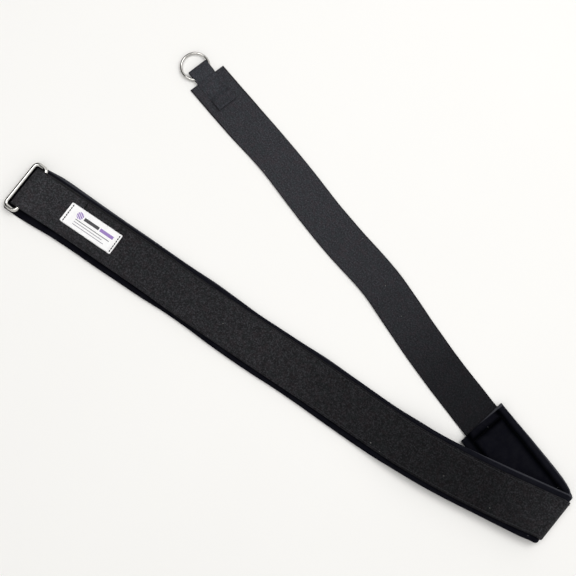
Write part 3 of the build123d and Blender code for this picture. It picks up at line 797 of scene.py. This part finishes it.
def flat_outline(half, low, high, marks, groove):
    """Outline of a flat woven strip, rounded at its edges, with sunk lines at some distances across."""
    middle = (low + high) / 2.0
    thick = (high - low) / 2.0
    inner = half - thick
    places = {round(inner * i / 9.0, 6) for i in range(10)}
    for mark in marks:
        places |= {round(mark + d, 6) for d in (-0.0009, -0.0004, 0.0, 0.0004, 0.0009)}
    places = sorted(p for p in places if p <= inner)
    top = []
    for place in places:
        sink = sum(groove * math.exp(-(((place - mark) / 0.0005) ** 2)) for mark in marks)
        top.append((place, high - sink, low + sink))
    outline = [(-p, h) for p, h, _ in reversed(top[1:])] + [(p, h) for p, h, _ in top]
    turns = [math.pi * step / 6.0 for step in range(1, 6)]
    outline += [(inner + thick * math.sin(a), middle + thick * math.cos(a)) for a in turns]
    outline += [(p, l) for p, _, l in reversed(top)] + [(-p, l) for p, _, l in top[1:]]
    outline += [(-inner - thick * math.sin(a), middle - thick * math.cos(a)) for a in turns]
    return outline


def closing(t, end, reach, least):
    """Share of a thickness left near an end, where it closes in a quarter round."""
    gone = min(max((t - end + reach) / reach, 0.0), 1.0)
    return math.sqrt(max(1.0 - gone * gone, least))


def squeezed(outline, middle, share):
    """An outline pressed towards a middle height."""
    return [(across, middle + (height - middle) * share) for across, height in outline]


WEBBING_TOP = PAD_THICK + WEBBING_THICK
WEBBING_OUTLINE = flat_outline(WEBBING_HALF, PAD_THICK, WEBBING_TOP, (EDGE_ROW,), 0.00035)
STRAP_OUTLINE = flat_outline(STRAP_HALF, 0.0, STRAP_THICK, (STRAP_HALF - 0.0024,), 0.00022)
TAB_OUTLINE = flat_outline(TAB_HALF, 0.0, TAB_THICK, (TAB_HALF - 0.0016,), 0.00015)


def webbing_shift(station):
    """The webbing's sideways wander and half width at a station."""
    if station.part == "arm":
        return curve(WEBBING_RUN, station.spot)
    return WEBBING_RUN[0][1:]


def pad_shift(station):
    """The pad's sideways wander and half width at a station."""
    if station.part == "return":
        return curve(RETURN_PAD_RUN, station.spot)
    return curve(PAD_RUN, station.spot)


def webbing_section(station):
    """The webbing's outline, shifted and scaled to where its edges run."""
    shift, half = webbing_shift(station)
    scale = half / WEBBING_HALF
    return [(across * scale + shift, height) for across, height in WEBBING_OUTLINE]


def ripple(station, across, size, seed):
    """Slow uneven waviness of cloth, from -1 to 1."""
    place = Vector(((station.along + station.shear * across) / size, across / size, seed))
    return noise.noise(place)


def webbing_relief(station, across, height):
    """Puckers where the webbing is sewn on its pad, held level at the pad and floor."""
    edge = abs(across) / WEBBING_HALF
    return 0.00022 * ripple(station, across, 0.021, 1.5) * (0.4 + edge) - 0.00032


# ---- the wide webbing
def sleeve_line():
    """Middle line of the webbing's end in the loop's upright plane, as (distance past the bar, height)."""
    bar = SLEEVE_INNER + WEBBING_THICK / 2.0
    nose = SLEEVE_NOSE_RADIUS + WEBBING_THICK / 2.0
    lean = math.degrees(math.acos((bar - nose) / SLEEVE_NOSE))
    flat = PAD_THICK + WEBBING_THICK / 2.0
    over = flat + WEBBING_THICK

    def arc(centre, radius, start, end, count):
        turns = [math.radians(start + (end - start) * i / count) for i in range(count + 1)]
        return [(centre + radius * math.cos(a), LOOP_BAR.z + radius * math.sin(a)) for a in turns]

    line = [(-SLEEVE_START, flat), (-0.054, flat), (-0.036, over), (-0.019, over)]
    line += arc(0.0, bar, 103.0, lean, 3)
    line += arc(SLEEVE_NOSE, nose, lean, -lean, 8)
    line += arc(0.0, bar, -lean, -98.0, 3)
    line += [(-0.0195, flat), (-SLEEVE_TAIL, flat)]
    return line


def rounded(line, passes):
    """The line with its corners cut, twice as many points each pass."""
    for _ in range(passes):
        cut = [line[0]]
        for (a, b), (c, d) in zip(line, line[1:]):
            cut += [(0.75 * a + 0.25 * c, 0.75 * b + 0.25 * d), (0.25 * a + 0.75 * c, 0.25 * b + 0.75 * d)]
        line = cut + [line[-1]]
    return line


def even(line, step):
    """Points a step apart along a line."""
    points = [Vector(p) for p in line]
    made = [points[0]]
    left = step
    for a, b in zip(points, points[1:]):
        run = (b - a).length
        while run > left:
            a = a.lerp(b, left / run)
            made.append(a)
            run -= left
            left = step
        left -= run
    return made + [points[-1]]


def sleeve_stations():
    """Sections round the loop's bar, at right angles to the webbing's middle line."""
    forward = heading(ARM_FAR_ANGLE)
    side = heading(ARM_FAR_ANGLE - 90.0 + LOOP_SLANT)
    foot = arm_plan(ARM_LENGTH)
    line = even(rounded(sleeve_line(), 2), 0.0012)
    stations = []
    gone = -ARM_LENGTH - line[0].x
    for i, point in enumerate(line):
        before = line[max(i - 1, 0)]
        after = line[min(i + 1, len(line) - 1)]
        tangent = (after - before).normalized()
        up = forward * -tangent.y + UP * tangent.x
        if i:
            gone -= (point - before).length
        middle = foot + forward * point.x + UP * point.y
        origin = middle - up * (PAD_THICK + WEBBING_THICK / 2.0)
        stations.append(Station(origin, side, up, gone, 0.0, ARM_LENGTH + point.x))
    return stations


def webbing_pieces(material):
    """The wide webbing, in three pieces that meet where it lies level beside the fold."""
    sleeve = sleeve_stations()
    back = RETURN_LENGTH - WEBBING_SETBACK
    runs = {
        "arm": [arm_station(t) for t in spread(SEAM, ARM_LENGTH - SLEEVE_START - 0.0005, 0.0025)] + sleeve,
        "fold": fold_run(),
        "return": [return_station(t) for t in spread(SEAM, back, 0.0025)],
    }
    made = {}
    for part, run in runs.items():
        piece = sweep(f"webbing_{part}", run, webbing_section, material, webbing_relief)
        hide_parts(f"{part}_webbing")
        made[part] = piece
    return made


# ---- the pad
PAD_ACROSS = (
    0.0, 0.005, 0.010, 0.014, 0.0165, 0.0180, 0.0190, 0.0200, 0.0210, 0.0220, 0.0230, 0.0240,
    0.0250, 0.0258, 0.0266, 0.0274, 0.0281, 0.0287, 0.0292, 0.0296, 0.0299, 0.0300,
)
CORNER_STEPS = (0.85, 0.7, 0.55, 0.42, 0.3, 0.2, 0.12, 0.06, 0.02, 0.0)


def pad_outline(station, outer, inner_shape):
    """Outline of the padded section: inner is its velour face, outer the face under the webbing."""
    shift, wide = pad_shift(station)
    scale = wide / PAD_HALF
    round_start = PAD_HALF - PAD_ROUND
    face = []
    for across in PAD_ACROSS:
        roll = max(across - round_start, 0.0) / (PAD_HALF - round_start)
        fall = (1.0 - math.sqrt(max(1.0 - roll * roll, 0.0))) * (outer / 2.0)
        swell = 0.00030 * math.exp(-(((across - 0.0276) / 0.0013) ** 2)) - 0.00025
        face.append((across, outer + swell - fall, fall))
    outline = [(-across * scale + shift, top) for across, top, _ in reversed(face[1:])]
    outline += [(across * scale + shift, top) for across, top, _ in face]
    for sign in (1.0, -1.0):
        run = reversed(face[:-1]) if sign > 0 else face[1:-1]
        for across, _, fall in run:
            outline.append((sign * across * scale + shift, inner_shape(station, sign * across) + fall))
    return outline


def channel_depth(gap):
    """Depth of a sewn channel, a gap away from its middle."""
    return CHANNEL_DEPTH * math.exp(-((gap / 0.0021) ** 2))


def pad_face(station, across):
    """Depth of the velour face: it puffs between its stitched channels."""
    return VELOUR_REST + channel_depth(abs(across) - PAD_GROOVE)


def return_face(station, across):
    """Velour face near the padded end, with one more channel across it."""
    low = pad_face(station, across)
    if abs(across) < PAD_GROOVE:
        low = max(low, VELOUR_REST + channel_depth(station.spot - (RETURN_LENGTH - CROSS_GROOVE)))
    return low


def pad_relief(station, across, height):
    """Small lumps and puckers, strongest on the free margins."""
    margin = smooth((abs(across) - 0.018) / 0.008)
    fine = ripple(station, across, 0.007, 6.5) * margin
    slow = ripple(station, across, 0.024, 3.5)
    return 0.00016 * fine + 0.00010 * slow


def arm_pad_outer(t):
    """Thickness of the arm's pad, thinner where it is sewn down beside the loop."""
    share = (t - ARM_LENGTH + PAD_TAPER) / (PAD_TAPER - PAD_TAPER_END)
    return PAD_THICK + (PAD_END_THICK - PAD_THICK) * smooth(share)


def pad_pieces(material):
    """The padded velour tube, in three pieces that meet as the webbing does."""
    tip = ARM_LENGTH + PAD_END_REACH

    def arm_section(station):
        thick = arm_pad_outer(station.spot)
        corner = closing(station.spot, tip, PAD_END_CORNER, 0.0)
        narrow = 1.0 - PAD_END_CORNER / PAD_HALF * (1.0 - corner)
        shape = [(a * narrow, h) for a, h in pad_outline(station, thick, pad_face)]
        return squeezed(shape, thick / 2.0, closing(station.spot, tip, 0.0014, 0.04))

    def fold_section(station):
        return pad_outline(station, PAD_THICK, pad_face)

    def return_section(station):
        step = smooth((station.spot - (RETURN_LENGTH - STRAP_SEWN_LENGTH - 0.007)) / 0.006)
        thick = PAD_THICK - STRAP_THICK * step
        shape = pad_outline(station, thick, return_face)
        return squeezed(shape, thick / 2.0, closing(station.spot, RETURN_LENGTH, 0.0018, 0.03))

    arm_places = spread(SEAM, tip - PAD_END_CORNER, 0.0025)
    arm_places += [tip - PAD_END_CORNER * d for d in CORNER_STEPS]
    cross = RETURN_LENGTH - CROSS_GROOVE
    back_places = spread(SEAM, cross - 0.003, 0.0022)[:-1]
    back_places += spread(cross - 0.003, cross + 0.004, 0.0007)[:-1]
    back_places += spread(cross + 0.004, RETURN_LENGTH - 0.0018, 0.0012)
    back_places += [RETURN_LENGTH - d for d in (0.0013, 0.0008, 0.0004, 0.0001, 0.0)]
    runs = {
        "arm": ([arm_station(t) for t in arm_places], arm_section),
        "fold": (fold_run(), fold_section),
        "return": ([return_station(t) for t in back_places], return_section),
    }
    made = {}
    for part, (run, section) in runs.items():
        piece = sweep(f"pad_{part}", run, section, material, pad_relief)
        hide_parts(f"{part}_pad_cover", f"{part}_pad_core")
        made[part] = piece
    return made


# ---- stitches
def stitch_rows(name, rows, material, radius=0.00042, stitch=STITCH):
    """Separate stitches along rows of (point, up) pairs, each one dipping into the cloth at its ends."""
    vertices = []
    faces = []
    cloth = []
    around = 8
    profile = ((0.02, 0.25), (0.12, 0.75), (0.32, 1.0), (0.68, 1.0), (0.88, 0.75), (0.98, 0.25))
    for row in rows:
        places = [0.0]
        for (a, _), (b, _) in zip(row, row[1:]):
            places.append(places[-1] + (b - a).length)
        count = max(1, round(places[-1] / stitch))
        pitch = places[-1] / count
        i = 0
        for number in range(count):
            base = len(vertices)
            for share, swell in profile:
                distance = (number + share) * pitch
                while i < len(places) - 2 and places[i + 1] < distance:
                    i += 1
                inside = (distance - places[i]) / max(places[i + 1] - places[i], 1e-9)
                point = row[i][0].lerp(row[i + 1][0], inside)
                up = row[i][1].lerp(row[i + 1][1], inside).normalized()
                tangent = (row[i + 1][0] - row[i][0]).normalized()
                side = up.cross(tangent)
                lean = side * (radius * 0.35 * (share - 0.5))
                middle = point + up * (radius * (1.1 * math.sin(math.pi * share) - 0.75)) + lean
                for k in range(around):
                    angle = 2.0 * math.pi * k / around
                    ray = side * math.cos(angle) + up * math.sin(angle)
                    vertices.append(middle + ray * (radius * swell))
                    cloth.append((distance, angle, 0.0))
            for ring in range(len(profile) - 1):
                for k in range(around):
                    n = (k + 1) % around
                    a = base + ring * around
                    faces.append((a + k, a + n, a + around + n, a + around + k))
            end = base + (len(profile) - 1) * around
            faces.append(tuple(base + k for k in reversed(range(around))))
            faces.append(tuple(end + k for k in range(around)))
    return make_object(name, vertices, faces, cloth, material)


def row_along(stations, wander, share, height, face=1.0):
    """Thread along the cloth at a share of its half width, on its outer side or (face -1) its inner one."""
    line = []
    for station in stations:
        shift, half = wander(station)
        line.append((station.place(share * half + shift, height(station)), station.up * face))
    return line


def row_across(station, half, height, step, face=1.0):
    """Thread across the cloth at one station."""
    return [(station.place(a, height), station.up * face) for a in spread(-half, half, step)]


def edge_rows(material, channel_material):
    """Thread along both edges of the wide webbing, and the channels on the pad's velour face."""
    arm_end = ARM_LENGTH - SLEEVE_TAIL - 0.004
    arm = [arm_station(t) for t in spread(SEAM, arm_end, 0.003)]
    back = [return_station(t) for t in spread(SEAM, RETURN_LENGTH - WEBBING_SETBACK - 0.003, 0.003)]
    channel = [return_station(t) for t in spread(SEAM, RETURN_LENGTH - CROSS_GROOVE, 0.003)]
    runs = {"arm": (arm, arm), "fold": (fold_run(), fold_run()), "return": (back, channel)}
    edge = EDGE_ROW / WEBBING_HALF
    groove = PAD_GROOVE / PAD_HALF

    def edge_height(station):
        return WEBBING_TOP - 0.00030 - 0.00025 * smooth(station.along / FOLD_ARC)

    def channel_height(station):
        return CHANNEL_DEPTH

    made = {}
    for part, (outer, inner) in runs.items():
        for side, share in (("upper", edge), ("lower", -edge)):
            name = f"edge_thread_{part}_{side}"
            made[name] = stitch_rows(name, [row_along(outer, webbing_shift, share, edge_height)], material)
        lines = [row_along(inner, pad_shift, share, channel_height, -1.0) for share in (groove, -groove)]
        if part == "return":
            cross = return_station(RETURN_LENGTH - CROSS_GROOVE)
            lines.append(row_across(cross, PAD_GROOVE, CHANNEL_DEPTH + 0.0001, 0.003, -1.0))
        made[f"pad_thread_{part}"] = stitch_rows(f"pad_thread_{part}", lines, channel_material, 0.00028)
    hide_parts("arm_stitching_upper")
    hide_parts("arm_stitching_lower")
    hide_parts("return_pad_stitching")
    return made


def sleeve_rows(material):
    """Two rows across the webbing behind the loop's bar."""
    height = WEBBING_TOP + WEBBING_THICK - 0.00045
    stations = [arm_station(ARM_LENGTH - back) for back in SLEEVE_ROWS]
    rows = [row_across(station, SLEEVE_ROW_HALF, height, 0.003) for station in stations]
    piece = stitch_rows("sleeve_thread", rows, material, 0.00036, 0.0028)
    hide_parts("sleeve_stitching")
    return piece


# ---- the label
def label_pieces(satin, thread):
    """Satin label with its short ends turned under, and a row of thread across each end."""
    centre = ARM_LENGTH - LABEL_BACK
    half = LABEL_LENGTH / 2.0

    def station(t):
        made = arm_station(t)
        lift = WEBBING_TOP + 0.0008 * smooth((t - (ARM_LENGTH - SLEEVE_DOUBLED)) / 0.005)
        made.origin = made.origin + made.up * lift + made.side * LABEL_OFFSET
        made.along = centre - t
        made.shear = 0.0
        made.spot = centre - t
        return made

    def section(place):
        near_end = smooth((abs(place.spot) - (half - 0.0062)) / 0.0012)
        seam = math.exp(-(((abs(place.spot) - (half - LABEL_ROW_INSET)) / 0.0005) ** 2))
        thick = LABEL_THICK * (0.85 + 0.55 * near_end - 0.35 * seam)
        width = LABEL_WIDTH / 2.0 - 0.00025 * noise.noise(Vector((place.spot * 90.0, 4.2, 0.0)))
        width -= 0.0009 * smooth((abs(place.spot) - (half - 0.0020)) / 0.0020)
        rows = spread(-width, width, 0.0016)
        outline = [(a, thick + 0.00016 * math.exp(-(((width - abs(a)) / 0.0009) ** 2))) for a in rows]
        return outline + [(a, 0.0) for a in reversed(rows)]

    def relief(place, across, height):
        bow = ripple(place, across, 0.013, 8.5) * 0.00022
        return max(bow, -0.00005) + 0.00012

    ends = [half - d for d in (0.0001, 0.0004, 0.0008)]
    places = [-e for e in ends] + spread(-half + 0.0012, half - 0.0012, 0.0009) + list(reversed(ends))
    label = sweep("label_sheet", [station(centre - p) for p in places], section, satin, relief)
    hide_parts("label")
    spots = (LABEL_ROW_INSET - half, half - LABEL_ROW_INSET)
    rows = [row_across(station(centre - p), LABEL_ROW_HALF, LABEL_THICK + 0.00018, 0.002) for p in spots]
    stitches = stitch_rows("label_thread", rows, thread, 0.00066, 0.0032)
    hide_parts("label_stitching")
    return [label, stitches]


# ---- the strap
def strap_straight(s):
    """Point on the strap's straight runs, s from where it flexes."""
    if s < 0.0:
        return FLEX.to_2d().to_3d() + heading(RETURN_ANGLE) * s
    if s < STRAP_LOWER_LENGTH:
        return FLEX.to_2d().to_3d() + heading(STRAP_LOWER_ANGLE) * s
    return BEND.to_2d().to_3d() + heading(STRAP_UPPER_ANGLE) * (s - STRAP_LOWER_LENGTH)


def strap_plan(s):
    """The strap's centre line in the plan, with its kinks eased and its wander added."""
    window = (-0.008, -0.004, 0.0, 0.004, 0.008)
    ease = min(1.0, max(0.0, (STRAP_LENGTH - s) / 0.010))
    point = sum((strap_straight(s + d * ease) for d in window), Vector((0.0, 0.0, 0.0))) / len(window)
    ahead = strap_straight(s + 0.004) - strap_straight(s - 0.004)
    return point + Vector((ahead.y, -ahead.x, 0.0)).normalized() * curve(STRAP_RUN, s)[0]


def strap_height(s):
    """Underside of the strap: sewn in between webbing and pad, then down on the floor."""
    sewn = WEBBING_THICK * (1.0 - smooth((s + STRAP_FLEX_REACH) / (STRAP_FLEX_REACH - 0.003)))
    free = smooth((s - 0.02) / 0.05) * smooth((STRAP_LENGTH - 0.05 - s) / 0.05)
    return sewn + free * 0.0006 * (0.5 + 0.5 * math.sin(s * 41.0 + 0.6))


def strap_station(s):
    """Section of the strap, with its origin on its underside."""
    ahead = (strap_plan(s + 0.002) - strap_plan(s - 0.002)).normalized()
    if s > STRAP_LENGTH - 0.004:
        ahead = heading(STRAP_UPPER_ANGLE)
    slope = (strap_height(s + 0.001) - strap_height(s - 0.001)) / 0.002
    point = strap_plan(s)
    point.z = strap_height(s)
    side = Vector((ahead.y, -ahead.x, 0.0))
    return Station(point, side, (UP - ahead * slope).normalized(), s, 0.0, s)


def strap_pieces(material):
    """The narrower strap, in three pieces that meet on its straight runs."""
    first = STRAP_LOWER_LENGTH * 0.5
    second = STRAP_LOWER_LENGTH + 0.060
    runs = {
        "root": ("strap_sewn_end", STRAP_BACK, first),
        "middle": ("strap_lower", first, second),
        "tip": ("strap_upper", second, STRAP_LENGTH),
    }

    def section(station):
        wide = curve(STRAP_RUN, station.spot)[1] / STRAP_HALF
        return [(across * wide, height) for across, height in STRAP_OUTLINE]

    def relief(station, across, height):
        return max(0.00012 * ripple(station, across, 0.030, 2.5), -height * 0.5) + 0.00004

    made = {}
    for part, (node, start, end) in runs.items():
        stations = [strap_station(s) for s in spread(start, end, 0.0025)]
        piece = sweep(f"strap_{part}", stations, section, material, relief)
        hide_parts(node)
        made[part] = piece
    return made


# ---- the tab
def tab_press(x):
    """Share of the tab's thickness left, x past the strap's end: its tails are sewn down hard."""
    return 1.0 - TAB_PRESSED * smooth((x + 0.030) / 0.008) * smooth((0.001 - x) / 0.003)


def tab_curl(x):
    """How far the upper tail's free end lifts off the one under it."""
    return TAB_CURL * smooth((-x - TAB_TAIL + 0.009) / 0.009)


def tab_line():
    """Middle line of the tab in its upright plane, as (distance past the strap's end, height)."""
    turn = TAB_INNER + TAB_THICK / 2.0
    tail = [(x, STRAP_THICK + TAB_THICK * tab_press(x) * 0.5) for x in spread(-TAB_TAIL, -0.001, 0.001)]
    line = tail + [(TAB_OPEN, RING_CENTRE.z - turn)]
    for step in range(13):
        angle = math.radians(-90.0 + 15.0 * step)
        line.append((TAB_NOSE + turn * math.cos(angle), RING_CENTRE.z + turn * math.sin(angle)))
    line.append((TAB_OPEN, RING_CENTRE.z + turn))
    for x, z in reversed(tail):
        line.append((x, STRAP_THICK + (z - STRAP_THICK) * 3.0 + tab_curl(x)))
    return line


def tab_pieces(material, thread):
    """The folded tab as one strip, and the box of thread that holds it on the strap."""
    forward = heading(STRAP_UPPER_ANGLE)
    side = heading(STRAP_UPPER_ANGLE - 90.0)
    foot = TAB_HINGE.to_2d().to_3d()
    line = even(rounded(tab_line(), 2), 0.0008)
    stations = []
    gone = 0.0
    for i, point in enumerate(line):
        before = line[max(i - 1, 0)]
        tangent = (line[min(i + 1, len(line) - 1)] - before).normalized()
        up = forward * tangent.y - UP * tangent.x
        gone += (point - before).length
        middle = foot + forward * point.x + UP * point.y
        stations.append(Station(middle - up * (TAB_THICK / 2.0), side, up, gone, 0.0, point.x))

    def section(station):
        return squeezed(TAB_OUTLINE, TAB_THICK / 2.0, tab_press(station.spot))

    tab = sweep("tab_strip", stations, section, material)
    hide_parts("tab_tails", "tab_loop")

    edge = TAB_HALF - TAB_ROW_INSET
    far = TAB_TAIL - TAB_ROW_FAR

    def spot(back, across):
        top = STRAP_THICK + 2.0 * TAB_THICK * tab_press(-back) + tab_curl(-back)
        return (foot - forward * back + side * across + UP * top, UP)

    rows = [
        [spot(far + TAB_ROW_BOW * (1.0 - (a / edge) ** 2), a) for a in spread(-edge, edge, 0.001)],
        [spot(TAB_ROW_NEAR, a) for a in spread(-edge, edge, 0.002)],
    ]
    for place in (-edge, edge):
        rows.append([spot(b, place) for b in spread(TAB_ROW_NEAR + 0.002, far, 0.002)])
    stitches = stitch_rows("tab_thread", rows, thread, 0.00036, 0.0026)
    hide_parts("tab_stitching")
    return tab, stitches


# ---- hardware and floor
def finish_hardware():
    """Plated finish on the wire loop and the ring."""
    for node, material, tone in CHROME:
        shape = frame["nodes"][node]
        shape.data.materials.clear()
        shape.data.materials.append(chrome_material(material, tone))


def make_floor():
    """Pale floor under the belt."""
    half = 3.0
    low = -0.0001
    corners = [(-half, -half, low), (half, -half, low), (half, half, low), (-half, half, low)]
    mesh = bpy.data.meshes.new("floor")
    mesh.from_pydata(corners, [], [(0, 1, 2, 3)])
    mesh.materials.append(floor_material())
    put_in_scene("floor", mesh)


def place_on_bodies(webbing, pad, threads, strap):
    """What goes round the fold or over a strap hinge blends, and the rest rides."""
    for part, body in (("arm", "belt_arm"), ("return", "belt_return")):
        pieces = [webbing[part], pad[part], threads[f"pad_thread_{part}"]]
        pieces += [threads[f"edge_thread_{part}_{side}"] for side in ("upper", "lower")]
        for piece in pieces:
            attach(piece, body)
    outer = [webbing["fold"]]
    outer += [threads[f"edge_thread_fold_{side}"] for side in ("upper", "lower")]
    for piece in outer:
        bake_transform(piece)
    for piece in (pad["fold"], threads["pad_thread_fold"]):
        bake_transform(piece)
    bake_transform(strap["root"])
    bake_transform(strap["middle"])
    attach(strap["tip"], "strap_far")


def main():
    camera_and_light()
    make_floor()
    thread = {name: thread_material(name) for name in THREADS}
    webbing = webbing_pieces(webbing_material("webbing"))
    pad = pad_pieces(velour_material())
    threads = edge_rows(thread["thread"], thread["channel_thread"])
    sleeve = sleeve_rows(thread["sleeve_thread"])
    label = label_pieces(label_material(), thread["label_thread"])
    strap = strap_pieces(webbing_material("strap_webbing"))
    tab, tab_thread = tab_pieces(webbing_material("tab_webbing"), thread["tab_thread"])
    finish_hardware()
    place_on_bodies(webbing, pad, threads, strap)
    for piece in [sleeve] + label:
        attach(piece, "belt_arm")
    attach(tab_thread, "strap_far")
    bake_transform(tab)


main()
